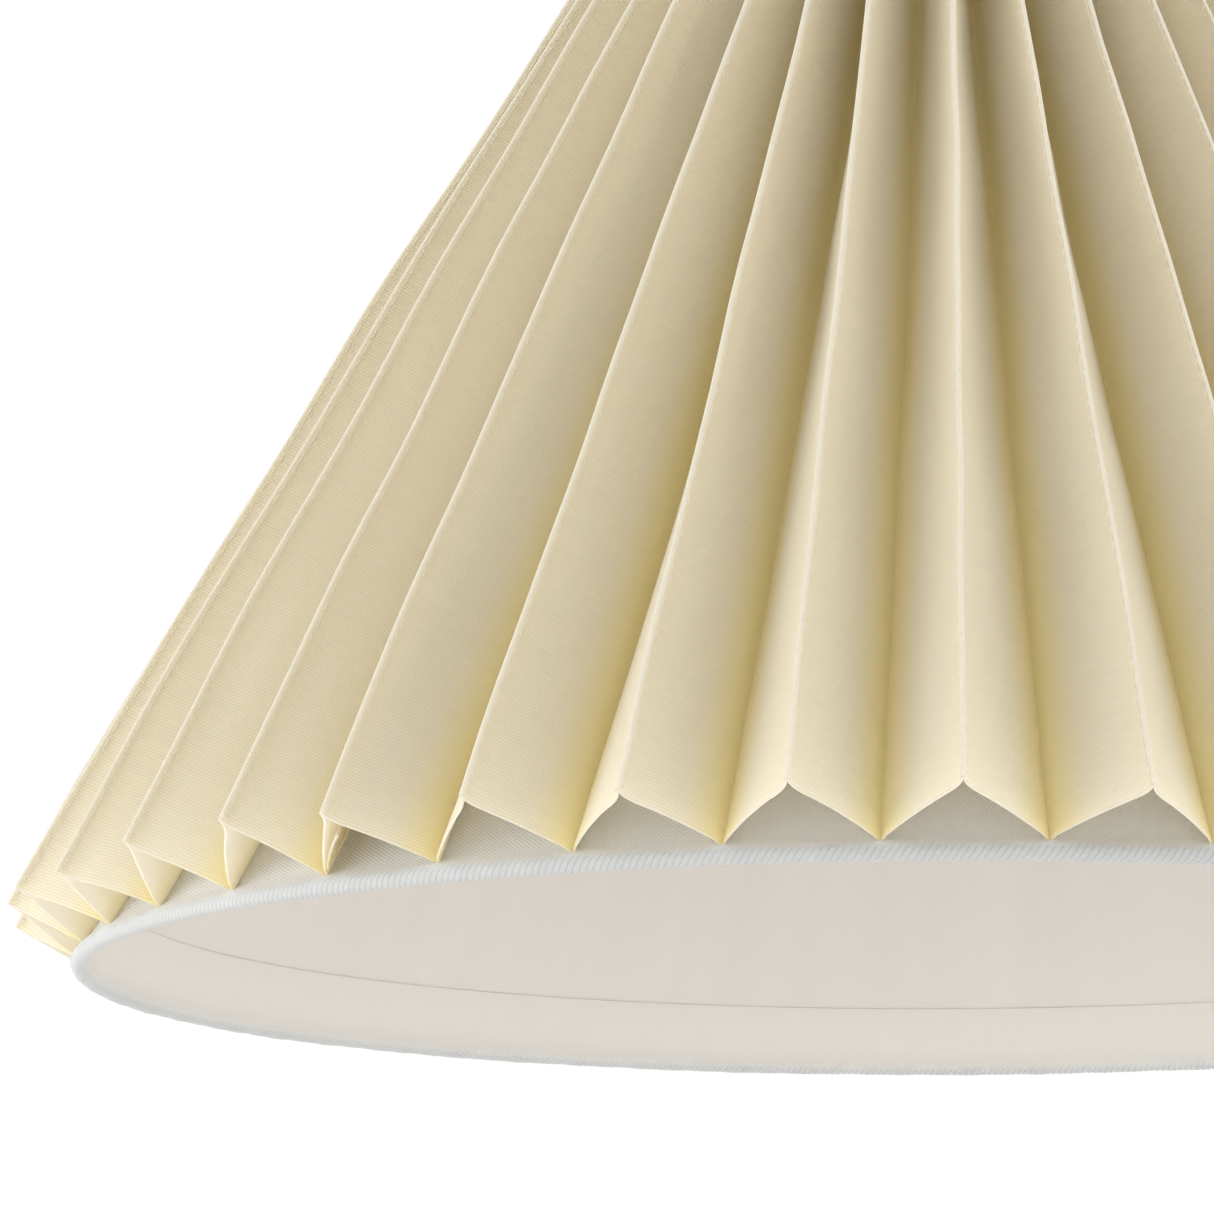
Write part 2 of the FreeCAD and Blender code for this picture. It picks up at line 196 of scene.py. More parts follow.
def crest_lines(s):
    """Azimuth, depth and cut offset of every crest at distances s: [pleat, row]."""
    f = (s - EDGE) / (SLANT - 2 * EDGE)
    noise = np.random.default_rng(5)
    base = FIRST_CREST + np.degrees(PITCH) * pleat
    az = base[:, None] + foot[:, None] + lean[:, None] * f[None, :] ** 1.2
    az = np.radians(az)
    radius = MOUTH_R - s * SIN + CREST_OUT * COS
    wander = CREST_WANDER * smooth_noise(PLEATS, s, (120, 61, 37), noise)
    az = az + wander / radius[None, :]
    half = math.pi * (MOUTH_R - s * SIN + BASE * COS) / PLEATS
    depth = np.sqrt(WALL ** 2 - half ** 2)
    swell = sum(high * np.exp(-(((s - at) / wide) ** 2)) for at, wide, high in SWELLS)
    depth = depth[None, :] + swell[None, :]
    depth = depth + DEPTH_WANDER * smooth_noise(PLEATS, s, (120, 60), noise)
    shift = cut[:, None] * (1 - f[None, :]) ** 3
    return az, depth, shift


def unwrap_next(az):
    """Azimuth of the next crest, carried past a full turn."""
    nxt = np.roll(az, -1, axis=0)
    nxt[-1] = nxt[-1] + FULL_TURN
    return nxt


crest_az, crest_depth, crest_shift = crest_lines(along)
next_az = unwrap_next(crest_az)
noise = np.random.default_rng(11)
valley_az = (crest_az + next_az) / 2
valley_r = MOUTH_R - along * SIN
drift = VALLEY_WANDER * smooth_noise(PLEATS, along, (160, 90), noise)
valley_az = valley_az + drift / valley_r[None, :]
prev_valley = np.roll(valley_az, 1, axis=0)
prev_valley[0] = prev_valley[0] - FULL_TURN
bulge_scale = noise.uniform(0.75, 1.2, (2, PLEATS))
wall_waves = [smooth_noise(PLEATS, along, (130, 64, 38), noise) for _ in range(2)]


def bend(a, b, c, t):
    """Point at t along the curve from a to c that is pulled towards b."""
    return a * (1 - t) ** 2 + b * 2 * t * (1 - t) + c * t * t


# Section of a pleat, square off the lining: how far out and how far to one side the
# cloth's middle stands at each bend.
VALLEY_OUT = 0.26
ELBOW_OUT, ELBOW_SIDE = 0.30, 0.26
FOOT_OUT, FOOT_SIDE = 1.5, 0.82
CORNER_SIDE = 0.21
LIP_SIDE = 0.2
# Where the straight part of the lip starts and ends, below the crest.
LIP_LOW, LIP_HIGH = 0.45, 0.2
# How far each wall bulges at the top of the shade, what it gains to the mouth, and its waves.
BULGE, BULGE_GAIN, WALL_WAVE = 0.12, 0.28, 0.15


def half_pleat(which):
    """Columns from valley to crest, for the half before (0) or after (1) each crest."""
    sign = -1.0 if which == 0 else 1.0
    v_az = prev_valley if which == 0 else valley_az
    s_c = along[None, :] + crest_shift
    s_v = np.broadcast_to(along[None, :], s_c.shape)
    low_fold = side(s_v, BASE + VALLEY_OUT, v_az)
    elbow = side(s_v, BASE + ELBOW_OUT, v_az, across=-sign * ELBOW_SIDE)
    foot_end = side(s_v, BASE + FOOT_OUT, v_az, across=-sign * FOOT_SIDE)
    corner = side(s_c, BASE + crest_depth - LIP, crest_az, across=sign * CORNER_SIDE)
    lip_start = side(s_c, BASE + crest_depth - LIP_LOW, crest_az, across=sign * LIP_SIDE)
    lip_end = side(s_c, BASE + crest_depth - LIP_HIGH, crest_az, across=sign * LIP_SIDE)
    crest_top = side(s_c, BASE + crest_depth, crest_az)
    columns = [bend(low_fold, elbow, foot_end, t) for t in FOLD]
    chord = corner - foot_end
    normal = np.cross(np.gradient(foot_end, axis=1), chord) * -sign
    normal = normal / np.linalg.norm(normal, axis=-1, keepdims=True)
    width = (MOUTH_R - along * SIN)[None, :] / MOUTH_R
    swell = (BULGE + BULGE_GAIN * width) * bulge_scale[which][:, None]
    wave = WALL_WAVE * wall_waves[which]
    for t in RUN:
        lift = swell * 4 * t * (1 - t) + wave * math.sin(math.pi * t)
        columns.append(foot_end + chord * t + normal * lift[..., None])
    wall_end = foot_end + chord * 0.8 + normal * (swell * 0.64)[..., None]
    columns += [bend(wall_end, corner, lip_start, t) for t in FLARE]
    outer = crest_top + lip_end - side(s_c, BASE + crest_depth - LIP_HIGH, crest_az)
    columns += [bend(lip_end, outer, crest_top, t) for t in ARC]
    columns.append(crest_top)
    return np.stack(columns, axis=1)          # [pleat, column, row, xyz]


before = half_pleat(0)
after = half_pleat(1)[:, ::-1]
strip = np.concatenate([before, after[:, 1:-1]], axis=1)      # one pleat, valley to valley
n_cols = strip.shape[1]
middle = strip.transpose(2, 0, 1, 3).reshape(ROWS, PLEATS * n_cols, 3)

# Width coordinate of every column on the flat strip.
flow = np.linalg.norm(np.diff(before[0, :, 0], axis=0), axis=-1)
flow = np.concatenate([[0], np.cumsum(flow)])
flow = flow / flow[-1] * WALL
cols_u = np.concatenate([flow, (2 * WALL - flow[::-1])[1:-1]])
cols_u = np.concatenate([cols_u + 2 * WALL * k for k in range(PLEATS)] + [[2 * WALL * PLEATS]])


def thickened(mid, thick):
    """Closed band: the middle surface pushed out and in by half the thickness.

    thick is one number, or one for each row.
    """
    du = np.roll(mid, -1, axis=1) - np.roll(mid, 1, axis=1)
    dv = np.gradient(mid, axis=0)
    normal = np.cross(dv, du)
    normal = normal / np.linalg.norm(normal, axis=-1, keepdims=True)
    half = np.broadcast_to(thick, mid.shape[:1])[:, None, None] / 2
    outside = mid + normal * half
    inside = mid - normal * half
    return np.concatenate([outside, inside[::-1]], axis=0)


cover_points = thickened(middle, CLOTH)
rows_mm = along - EDGE
uv_rows = np.concatenate([rows_mm, rows_mm[::-1], rows_mm[:1]])
cover_uv = np.stack(np.meshgrid(uv_rows / 100, cols_u / 100, indexing="ij")[::-1], axis=-1)
cover = make_mesh("cover", cover_points, True, True, cover_uv)
inner = np.repeat(np.arange(2 * ROWS) >= ROWS, cover_points.shape[1]).astype(np.float32)
backing = cover.data.attributes.new("backing", "FLOAT", "POINT")
backing.data.foreach_set("value", inner)

# The strip's ends lap inside one pleat: a second wall stands behind the first.
LAP_PLEAT = 4
LAP_GAP, LAP_SPREAD = 0.5, 1.6       # gap to the wall at the valley, and what it gains to the crest
lap_from = len(FOLD) - 1
wall = after[LAP_PLEAT, ::-1][lap_from:lap_from + len(RUN) + 2].transpose(1, 0, 2)
inward = np.cross(np.gradient(wall, axis=0), np.gradient(wall, axis=1))
inward = inward / np.linalg.norm(inward, axis=-1, keepdims=True)
reach_in = np.linspace(0, 1, wall.shape[1])
lap_mid = wall + inward * (LAP_GAP + LAP_SPREAD * reach_in ** 1.5)[None, :, None]
half_cloth = np.full(wall.shape[1], CLOTH / 2)
half_cloth[[0, -1]] = 0
shell = inward * half_cloth[None, :, None]
lap_points = np.concatenate([lap_mid + shell, (lap_mid - shell)[::-1]], axis=0)
lap_u = flow[lap_from:lap_from + wall.shape[1]] / 100
lap_uv = np.stack(np.meshgrid(uv_rows / 100, lap_u, indexing="ij")[::-1], axis=-1)
lap = make_mesh("lap", lap_points, True, False, lap_uv)
lap.data.attributes.new("backing", "FLOAT", "POINT")
work = bmesh.new()
work.from_mesh(lap.data)
bmesh.ops.remove_doubles(work, verts=work.verts, dist=1e-7)
work.to_mesh(lap.data)
work.free()
with bpy.context.temp_override(active_object=cover, selected_editable_objects=[cover, lap]):
    bpy.ops.object.join()
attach(cover, "root")
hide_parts("pleated_cover")

# ---------------------------------------------------------------- crest seams
STITCH = 3.0         # stitch length
THREAD = 0.11        # thread radius
SIDES = 5
SEAM_IN = 0.66       # below the crest
SEAM_OFF = 0.28      # thread's middle to the middle of the pleat, where it dips in
ARCH = 0.12          # how much further out it stands in the middle of a stitch
SEAM_WANDER = 0.05
seam_s = np.arange(EDGE + 0.9, SLANT - EDGE - 0.6, STITCH / 4)
seam_az, seam_depth, seam_shift = crest_lines(seam_s)
phase = noise.uniform(0, 1, PLEATS)
tubes = []
for sign in (-1.0, 1.0):
    beat = (seam_s[None, :] / STITCH + phase[:, None]) % 1.0
    arch = np.clip(np.sin(math.pi * beat) * 1.6, 0, 1)
    off = SEAM_OFF + ARCH * arch
    drift = SEAM_WANDER * smooth_noise(PLEATS, seam_s, (31, 12), noise)
    line = side(seam_s[None, :] + seam_shift, BASE + seam_depth - SEAM_IN + drift,
                seam_az, across=sign * off)
    tubes.append(line)
lines = np.concatenate(tubes, axis=0)
forward = np.gradient(lines, axis=1)
forward = forward / np.linalg.norm(forward, axis=-1, keepdims=True)
out = lines * np.array([1, 1, 0])
out = out / np.linalg.norm(out, axis=-1, keepdims=True)
across = np.cross(forward, out)
across = across / np.linalg.norm(across, axis=-1, keepdims=True)
out = np.cross(across, forward)
ring_angles = np.arange(SIDES) * FULL_TURN / SIDES
rings = (lines[:, :, None] + THREAD * (out[:, :, None] * np.cos(ring_angles)[:, None]
         + across[:, :, None] * np.sin(ring_angles)[:, None]))
count, steps = rings.shape[:2]
index = np.arange(count * steps * SIDES).reshape(count, steps, SIDES)
a = index[:, :-1]
b = index[:, 1:]
quads = np.stack([a, np.roll(a, -1, 2), np.roll(b, -1, 2), b], -1).reshape(-1, 4)
seam_mesh = bpy.data.meshes.new("seams")
caps = [list(map(int, index[i, 0][::-1])) for i in range(count)]
caps += [list(map(int, index[i, -1])) for i in range(count)]
seam_mesh.from_pydata((rings.reshape(-1, 3) * MM).tolist(), [], quads.tolist() + caps)
seam_mesh.update()
seam_mesh.polygons.foreach_set("use_smooth", np.ones(len(seam_mesh.polygons), dtype=bool))
seams = bpy.data.objects.new("seams", seam_mesh)
scene.collection.objects.link(seams)
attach(seams, "root")
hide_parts("crest_stitching")

# ---------------------------------------------------------------- lining cloth
LINING = 0.3         # thickness
LAYER = 0.32         # middle of the film to the middle of the cloth
HEM = 10.5           # width of the turned-in hem
PRESSED = 0.05       # the hem's raw edge is pressed thin
CORD_DEPTH = 0.09
SLUB_DEPTH = 0.02
ROLL_WANDER = 0.07
CORDS = 816          # yarns that show as slanting cords round the rolled rim
CORD_LEAN = 3.9      # how far the cords slant, radians for each mm round the roll
COLS = 4 * CORDS


def wrap(sign, start, stop, count):
    """Path round a wire: from the side's inner face, past the wire, to its outer face.

    Each point is the distance along the side and the distance off its middle.
    """
    turn = np.radians(np.linspace(start, stop, count))
    reach = WIRE + LINING / 2 + 0.02
    return np.stack([sign * reach * np.cos(turn), reach * np.sin(turn)], -1)


# Path of the cloth, from the hem inside the mouth round both wires to the hem at the top.
mouth_roll = wrap(1, -62, -298, 19)
top_roll = wrap(-1, 62, 298, 13) + np.array([SLANT, 0])
hem_low = np.array([[EDGE + HEM, -0.21], [EDGE + HEM - 0.1, -0.22],
                    [EDGE + HEM - 1.8, -LAYER], [8, -LAYER], [5, -LAYER], [3.2, -0.36], [2.0, -0.5],
                    [1.3, -0.75]])
rise = np.array([[1.3, 0.75], [2.0, 0.46], [3.0, 0.34], [5, LAYER], [9, LAYER], [14, LAYER],
                 [20, LAYER], [40, LAYER], [75, LAYER], [110, LAYER], [145, LAYER],
                 [SLANT - 14, LAYER], [SLANT - 5, LAYER], [SLANT - 3, 0.34],
                 [SLANT - 2.0, 0.46], [SLANT - 1.3, 0.75]])
hem_high = np.array([[SLANT - 1.3, -0.75], [SLANT - 2.0, -0.5], [SLANT - 3.2, -0.36],
                     [SLANT - 5, -LAYER], [SLANT - EDGE - HEM + 0.1, -LAYER],
                     [SLANT - EDGE - HEM, -LAYER]])
path = np.concatenate([hem_low, mouth_roll, rise, top_roll, hem_high])
step = np.linalg.norm(np.diff(path, axis=0), axis=-1)
length = np.concatenate([[0], np.cumsum(step)])
turns = np.arange(COLS) * FULL_TURN / COLS
swelling = np.zeros((len(path), COLS))
roll_part = slice(len(hem_low), len(hem_low) + len(mouth_roll))
roll_run = length[roll_part] - length[roll_part].mean()
lean_on = CORDS * turns[None, :] + roll_run[:, None] * CORD_LEAN
fade = np.clip((2.4 - np.abs(roll_run)) / 0.8, 0, 1)[:, None]
cords = CORD_DEPTH * np.sin(lean_on) * fade
slubs = smooth_noise(len(mouth_roll), turns * MOUTH_R, (61, 23, 9.7, 4.3), noise) * SLUB_DEPTH
slow = smooth_noise(1, turns * MOUTH_R, (140, 47, 17, 7), noise) * ROLL_WANDER
swelling[roll_part] = cords + slubs + slow * fade
direction = path / np.maximum(np.linalg.norm(path, axis=-1, keepdims=True), 1e-6)
s_grid = path[:, 0][:, None] + 0 * swelling
n_grid = path[:, 1][:, None] + 0 * swelling
s_grid[roll_part] += swelling[roll_part] * direction[roll_part, 0][:, None]
n_grid[roll_part] += swelling[roll_part] * direction[roll_part, 1][:, None]
lining_mid = side(s_grid, n_grid, np.broadcast_to(turns[None, :], swelling.shape))
thickness = np.full(len(path), LINING)
thickness[:2] = PRESSED
lining_points = thickened(lining_mid, thickness)

# Flat cut of the lining: the weave keeps its own direction on the flat sector.
APEX = MOUTH_R / SIN
reach = APEX + length[len(hem_low) + len(mouth_roll) // 2] - length
TURN_START = -math.pi * SIN
turn_flat = np.linspace(0, FULL_TURN, COLS + 1) * SIN + TURN_START
order = np.concatenate([np.arange(len(path)), np.arange(len(path))[::-1], [0]])
flat_x = reach[order][:, None] * np.cos(turn_flat)[None, :]
flat_y = reach[order][:, None] * np.sin(turn_flat)[None, :]
lining_uv = np.stack([flat_x, flat_y], -1) / 100
lining = make_mesh("lining", lining_points, True, True, lining_uv)
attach(lining, "root")
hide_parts("liner_fabric")

# ---------------------------------------------------------------- hardback film
FILM = 0.3
film_s = edged(np.linspace(1.5, SLANT - 1.5, 40))
FILM_COLS = 720
film_turns = np.arange(FILM_COLS) * FULL_TURN / FILM_COLS
film_shape = (len(film_s), FILM_COLS)
film_mid = side(np.broadcast_to(film_s[:, None], film_shape), np.zeros(film_shape),
                np.broadcast_to(film_turns[None, :], film_shape))
film_points = thickened(film_mid, FILM)
film_rows = np.concatenate([film_s, film_s[::-1], film_s[:1]])
film_uv = np.stack(np.meshgrid(film_rows / 100, np.linspace(0, 8.6, FILM_COLS + 1),
                               indexing="ij")[::-1], axis=-1)
film = make_mesh("film", film_points, True, True, film_uv)
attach(film, "root")
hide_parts("liner_film")


# ---------------------------------------------------------------- materials
def new_material(name):
    """Empty node material with its output."""
    mat = bpy.data.materials.new(name)
    mat.use_nodes = True
    mat.node_tree.nodes.clear()
    return mat, Nodes(mat.node_tree)


class Nodes:
    """Short way to add and join shader nodes."""

    def __init__(self, tree):
        self.tree = tree

    def add(self, kind, **inputs):
        node = self.tree.nodes.new(kind)
        for key, value in inputs.items():
            if key.startswith("p_"):
                setattr(node, key[2:], value)
        for key, value in inputs.items():
            if key.startswith("p_"):
                continue
            slot_name = int(key[1:]) if key[0] == "i" and key[1:].isdigit() else key
            socket = node.inputs[slot_name]
            if hasattr(value, "is_output"):
                self.tree.links.new(value, socket)
            else:
                socket.default_value = value
        return node

    def math(self, op, a, b=0.0, c=0.0):
        return self.add("ShaderNodeMath", p_operation=op, i0=a, i1=b, i2=c).outputs[0]

    def noise(self, vector, scale, detail=2.0, rough=0.5):
        return self.add("ShaderNodeTexNoise", Vector=vector, Scale=scale, Detail=detail,
                        Roughness=rough).outputs["Fac"]

    def mapped(self, vector, scale):
        return self.add("ShaderNodeMapping", Vector=vector, Scale=scale).outputs[0]

    def mix(self, fac, a, b):
        node = self.add("ShaderNodeMix", p_data_type="RGBA")
        for socket, value in ((node.inputs[0], fac), (node.inputs[6], a), (node.inputs[7], b)):
            if hasattr(value, "is_output"):
                self.tree.links.new(value, socket)
            else:
                socket.default_value = value
        return node.outputs[2]

    def range(self, value, lo, hi, to_lo, to_hi):
        return self.add("ShaderNodeMapRange", Value=value, i1=lo, i2=hi, i3=to_lo,
                        i4=to_hi).outputs[0]

    def smooth_range(self, value, lo, hi, to_lo, to_hi):
        return self.add("ShaderNodeMapRange", p_interpolation_type="SMOOTHSTEP", Value=value,
                        i1=lo, i2=hi, i3=to_lo, i4=to_hi).outputs[0]


def cloth_shader(nodes, colour, height, bump, rough, glow, glow_colour, sheen=0.2):
    """Cloth: rough body with a share of light that comes through."""
    relief = nodes.add("ShaderNodeBump", Strength=bump, Distance=0.00012, Height=height)
    body = nodes.add("ShaderNodeBsdfPrincipled")
    for key, value in (("Roughness", rough), ("Sheen Weight", sheen),
                       ("Sheen Roughness", 0.5), ("Specular IOR Level", 0.25)):
        body.inputs[key].default_value = value
    nodes.tree.links.new(colour, body.inputs["Base Color"])
    nodes.tree.links.new(relief.outputs[0], body.inputs["Normal"])
    through = nodes.add("ShaderNodeBsdfTranslucent", Color=glow_colour,
                        Normal=relief.outputs[0])
    both = nodes.add("ShaderNodeMixShader", i0=glow, i1=body.outputs[0],
                     i2=through.outputs[0])
    nodes.add("ShaderNodeOutputMaterial", Surface=both.outputs[0])


RIB = 0.5            # spacing of the ribs
WARP = 0.62          # spacing of the warp


def cover_material():
    """Fine ribs across each pleat, crossed by a finer warp; smooth and paler on the back; painted
    shade, golden, towards each valley fold, a painted highlight along each crest, and painted shade
    in dashes along the stitch line.
    """
    mat_cover, nodes = new_material("cover_cloth")
    uv = nodes.add("ShaderNodeUVMap", p_uv_map="cloth").outputs[0]
    parts = nodes.add("ShaderNodeSeparateXYZ", Vector=uv)
    across_mm = nodes.math("MULTIPLY", parts.outputs[0], 100)
    along_mm = nodes.math("MULTIPLY", parts.outputs[1], 100)
    yarn = nodes.noise(nodes.mapped(uv, (14, 190, 1)), 1.0, 2.0)
    wobble = nodes.noise(nodes.mapped(uv, (60, 60, 1)), 1.0, 1.0)
    rib_at = nodes.math("MULTIPLY_ADD", wobble, 0.35, nodes.math("DIVIDE", along_mm, RIB))
    rib_wave = nodes.math("SINE", nodes.math("MULTIPLY", rib_at, FULL_TURN))
    rib = nodes.math("MULTIPLY_ADD", rib_wave, 0.5, 0.5)
    rib_row = nodes.math("FLOOR", rib_at)
    shift_row = nodes.math("MULTIPLY", nodes.math("MODULO", rib_row, 2.0), 0.5)
    warp_at = nodes.math("ADD", nodes.math("DIVIDE", across_mm, WARP), shift_row)
    warp_wave = nodes.math("SINE", nodes.math("MULTIPLY", warp_at, FULL_TURN))
    warp = nodes.math("MULTIPLY_ADD", warp_wave, 0.5, 0.5)
    weave = nodes.math("ADD", nodes.math("MULTIPLY", rib, 0.75),
                       nodes.math("MULTIPLY", nodes.math("MULTIPLY", rib, warp), 0.45))
    weave = nodes.math("MULTIPLY_ADD", yarn, 0.5, weave)
    tone = nodes.noise(nodes.mapped(uv, (2.2, 1.1, 1)), 1.0, 3.0)
    from_fold = nodes.math("PINGPONG", across_mm, WALL)
    # Painted shade: darker, more golden colour towards each valley fold, standing in for light
    # bouncing deep in the fold.
    valley_shade = nodes.smooth_range(from_fold, 0.0, 8.5, 1.0, 0.0)
    # Painted highlight: a paler, whiter line along each crest.
    crest_highlight = nodes.smooth_range(from_fold, WALL - 0.45, WALL - 0.2, 0.0, 1.0)
    # Painted shade: dark dashes in the groove along the stitch line beside each crest.
    past_crest = nodes.math("SUBTRACT", nodes.math("MODULO", across_mm, 2 * WALL), WALL)
    stitch_shade = nodes.math("ABSOLUTE", nodes.math("SUBTRACT", past_crest, 0.30))
    stitch_shade = nodes.range(stitch_shade, 0.08, 0.18, 1, 0)
    beat = nodes.math("FRACT", nodes.math("DIVIDE", along_mm, STITCH))
    stitch_shade = nodes.math("MULTIPLY", stitch_shade, nodes.range(beat, 0.72, 0.82, 1, 0.15))
    cream = nodes.mix(nodes.range(weave, 0.2, 1.4, 0, 1), (0.79, 0.74, 0.595, 1),
                      (0.97, 0.95, 0.885, 1))
    cream = nodes.mix(nodes.range(tone, 0.35, 0.65, 0, 0.10), cream, (0.93, 0.89, 0.75, 1))
    # painted shade: golden tint towards the valley fold
    cream = nodes.mix(nodes.math("MULTIPLY", valley_shade, 0.85), cream, (0.99, 0.87, 0.44, 1))
    # painted highlight along the crest
    cream = nodes.mix(crest_highlight, cream, (0.86, 0.87, 0.86, 1))
    # painted shade along the stitch line
    cream = nodes.mix(nodes.math("MULTIPLY", stitch_shade, 0.6), cream, (0.50, 0.42, 0.28, 1))
    back = nodes.add("ShaderNodeAttribute", p_attribute_name="backing").outputs["Fac"]
    cream = nodes.mix(back, cream, (0.98, 0.955, 0.925, 1))
    # painted shade: the light coming through turns more golden towards the valley fold
    golden = nodes.mix(nodes.math("MULTIPLY", valley_shade, 0.8), (0.98, 0.893, 0.66, 1),
                       (0.99, 0.86, 0.48, 1))
    golden = nodes.mix(back, golden, (0.96, 0.94, 0.90, 1))
    weave = nodes.math("MULTIPLY", weave, nodes.range(back, 0, 1, 1, 0.15))
    cloth_shader(nodes, cream, weave, 0.38, 0.62, 0.48, golden)
    return mat_cover


cover.data.materials.append(cover_material())


def thread_material():
    """Thread, smoother and a shade lighter than the cloth, with a fine twist."""
    mat_thread, nodes = new_material("seam_thread")
    place = nodes.add("ShaderNodeTexCoord").outputs["Object"]
    twist = nodes.add("ShaderNodeTexWave", Vector=place, Scale=900.0, Distortion=1.0)
    thread_colour = nodes.mix(twist.outputs["Fac"], (0.86, 0.80, 0.66, 1), (0.95, 0.91, 0.81, 1))
    cloth_shader(nodes, thread_colour, twist.outputs["Fac"], 0.2, 0.5, 0.15,
                 (0.95, 0.88, 0.72, 1))
    return mat_thread


seams.data.materials.append(thread_material())


WEAVE = 0.64         # spacing of the weave


def lining_material():
    """Plain weave laid flat on the sector the lining was cut from, with the cords of the roll; the
    roll carries painted shade, greyer all over and darker between its cords.
    """
    mat_lining, nodes = new_material("lining_cloth")
    uv = nodes.add("ShaderNodeUVMap", p_uv_map="cloth").outputs[0]
    parts = nodes.add("ShaderNodeSeparateXYZ", Vector=uv)
    warp_mm = nodes.math("MULTIPLY", parts.outputs[0], 100)
    weft_mm = nodes.math("MULTIPLY", parts.outputs[1], 100)
    wobble = nodes.noise(nodes.mapped(uv, (45, 45, 1)), 1.0, 2.0)
    cross_a = nodes.math("MULTIPLY_ADD", wobble, 0.5, nodes.math("DIVIDE", warp_mm, WEAVE))
    cross_b = nodes.math("MULTIPLY_ADD", wobble, 0.5, nodes.math("DIVIDE", weft_mm, WEAVE))
    wave_a = nodes.math("SINE", nodes.math("MULTIPLY", cross_a, FULL_TURN))
    wave_b = nodes.math("SINE", nodes.math("MULTIPLY", cross_b, FULL_TURN))
    check = nodes.math("MULTIPLY_ADD", nodes.math("MULTIPLY", wave_a, wave_b), 0.5, 0.5)
    slub = nodes.noise(nodes.mapped(uv, (160, 12, 1)), 1.0, 2.0)
    slub2 = nodes.noise(nodes.mapped(uv, (12, 160, 1)), 1.0, 2.0)
    check = nodes.math("ADD", check, nodes.math("MULTIPLY", nodes.math("ADD", slub, slub2), 0.45))
    white = nodes.mix(nodes.range(check, 0.2, 1.4, 0, 1), (0.79, 0.79, 0.775, 1),
                      (0.96, 0.96, 0.945, 1))
    from_apex = nodes.add("ShaderNodeVectorMath", p_operation="LENGTH", i0=uv).outputs["Value"]
    turn_at = nodes.math("ARCTAN2", parts.outputs[1], parts.outputs[0])
    down_roll = nodes.math("MULTIPLY_ADD", nodes.math("MULTIPLY", from_apex, -100), CORD_LEAN,
                           APEX * CORD_LEAN)
    cord_at = nodes.math("MULTIPLY_ADD", nodes.math("SUBTRACT", turn_at, TURN_START), CORDS / SIN,
                         down_roll)
    on_roll = nodes.math("ABSOLUTE", nodes.math("MULTIPLY_ADD", from_apex, 100, -APEX))
    on_roll = nodes.range(on_roll, 1.6, 2.4, 1, 0)
    # Painted shade: the rolled rim is painted greyer than the rest of the lining.
    white = nodes.mix(nodes.math("MULTIPLY", on_roll, 0.75), white, (0.70, 0.72, 0.73, 1))
    cord = nodes.math("MULTIPLY", nodes.math("SINE", cord_at), on_roll)
    # Painted shade: darker between the slanting cords of the roll.
    white = nodes.mix(nodes.range(cord, -1.0, 0.0, 0.5, 0), white, (0.45, 0.47, 0.48, 1))
    hem = nodes.range(from_apex, (APEX + 2.0) / 100, (APEX + 4.0) / 100, 0, 1)
    white = nodes.mix(hem, white, (0.90, 0.865, 0.815, 1))
    check = nodes.math("MULTIPLY", check, nodes.range(hem, 0, 1, 1, 0.25))
    check = nodes.math("MULTIPLY_ADD", cord, 0.5, check)
    cloth_shader(nodes, white, check, 0.6, 0.8, 0.30, (0.95, 0.92, 0.87, 1), 0.1)
    return mat_lining


lining.data.materials.append(lining_material())


def film_material():
    """Smooth, slightly warm film that lets light through."""
    mat_film, nodes = new_material("lining_film")
    uv = nodes.add("ShaderNodeUVMap", p_uv_map="cloth").outputs[0]
    cloud = nodes.noise(nodes.mapped(uv, (14, 0.8, 1)), 1.0, 3.0)
    grain = nodes.noise(nodes.mapped(uv, (80, 80, 1)), 1.0, 2.0)
    milk = nodes.mix(nodes.range(cloud, 0.3, 0.7, 0, 1), (0.895, 0.86, 0.822, 1),
                     (0.92, 0.885, 0.848, 1))
    cloth_shader(nodes, milk, grain, 0.05, 0.55, 0.35, (0.95, 0.90, 0.84, 1), 0.0)
    return mat_film


film.data.materials.append(film_material())


def wire_material():
    """White enamelled steel."""
    mat_wire, nodes = new_material("frame_wire")
    place = nodes.add("ShaderNodeTexCoord").outputs["Object"]
    speck = nodes.noise(nodes.mapped(place, (350, 350, 350)), 1.0, 3.0)
    enamel = nodes.mix(nodes.range(speck, 0.35, 0.7, 0, 1), (0.86, 0.86, 0.85, 1),
                       (0.80, 0.80, 0.785, 1))
    relief = nodes.add("ShaderNodeBump", Strength=0.1, Distance=0.0001, Height=speck)
    shader = nodes.add("ShaderNodeBsdfPrincipled")
    shader.inputs["Roughness"].default_value = 0.32
    shader.inputs["Coat Weight"].default_value = 0.3
    shader.inputs["Coat Roughness"].default_value = 0.15
    nodes.tree.links.new(enamel, shader.inputs["Base Color"])
    nodes.tree.links.new(relief.outputs[0], shader.inputs["Normal"])
    nodes.add("ShaderNodeOutputMaterial", Surface=shader.outputs[0])
    return mat_wire


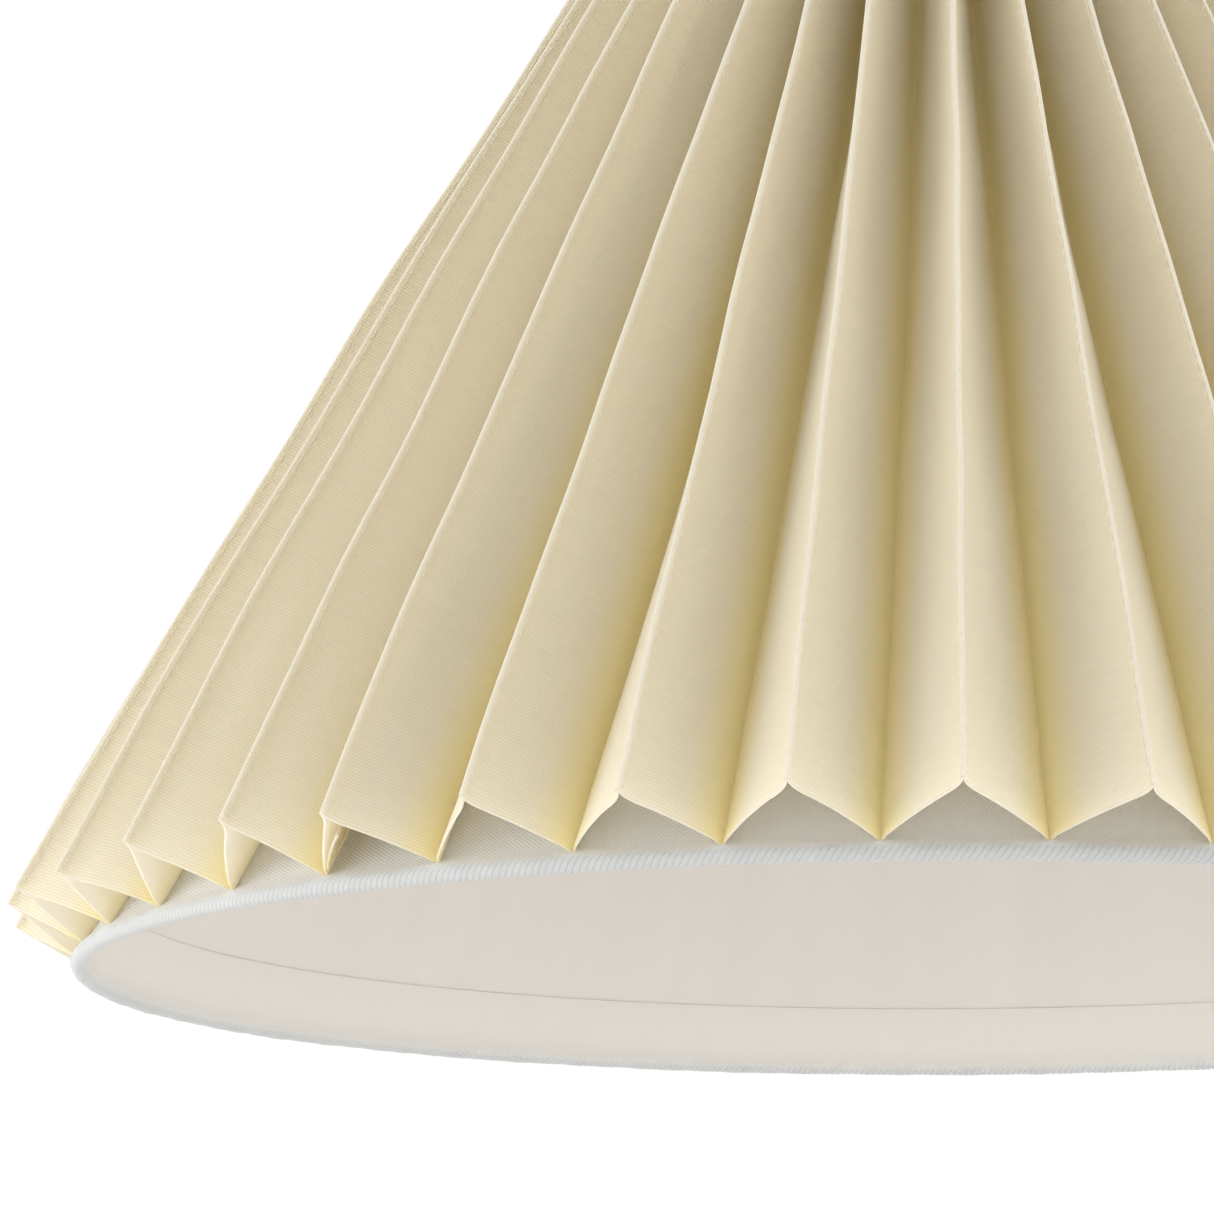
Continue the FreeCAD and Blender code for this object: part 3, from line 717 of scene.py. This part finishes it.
mat_wire = wire_material()
for name in ("bottom_ring", "top_ring", "arm_1", "arm_2", "arm_3", "fitter_ring"):
    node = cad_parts[name]
    node.data.materials.clear()
    node.data.materials.append(mat_wire)

# ---------------------------------------------------------------- floor and light
FLOOR_Z = -0.26
FLOOR_SIZE = 12
bpy.ops.mesh.primitive_plane_add(size=FLOOR_SIZE, location=(0, 0, FLOOR_Z))
floor = bpy.context.object
floor.name = "floor"
mat_floor, nodes = new_material("floor")
shader = nodes.add("ShaderNodeBsdfPrincipled", Roughness=0.9)
shader.inputs["Base Color"].default_value = (0.90, 0.90, 0.89, 1)
nodes.add("ShaderNodeOutputMaterial", Surface=shader.outputs[0])
floor.data.materials.append(mat_floor)

# Soft white surround: full white behind and beside, dimmer on the near side.
world = bpy.data.worlds.new("studio")
scene.world = world
world.use_nodes = True
world.node_tree.nodes.clear()
nodes = Nodes(world.node_tree)
way = nodes.add("ShaderNodeTexCoord").outputs["Generated"]
toward = nodes.add("ShaderNodeSeparateXYZ", Vector=way)
level = nodes.range(toward.outputs[1], -0.85, -0.05, 0.65, 1.03)
level = nodes.math("MULTIPLY_ADD", nodes.range(toward.outputs[2], 0.2, 1.0, 0, 1), 0.3, level)
sky = nodes.add("ShaderNodeBackground", Color=(1, 1, 1, 1), Strength=level)
nodes.add("ShaderNodeOutputWorld", Surface=sky.outputs[0])


def softbox(name, place, aim, size, watts, colour):
    """Rectangular soft light."""
    data = bpy.data.lights.new(name, "AREA")
    data.shape = "RECTANGLE"
    data.size, data.size_y = size
    data.energy = watts
    data.color = colour
    light = bpy.data.objects.new(name, data)
    scene.collection.objects.link(light)
    light.location = place
    direction = Vector(aim) - Vector(place)
    light.rotation_euler = direction.to_track_quat("-Z", "Y").to_euler()
    return light


softbox("left", (-1.3, -0.35, 0.15), (0, 0, 0.05), (0.9, 0.8), 8, (1, 1, 1))
softbox("right", (1.3, -0.35, 0.35), (0, 0, 0.08), (0.9, 1.2), 6, (1, 1, 1))
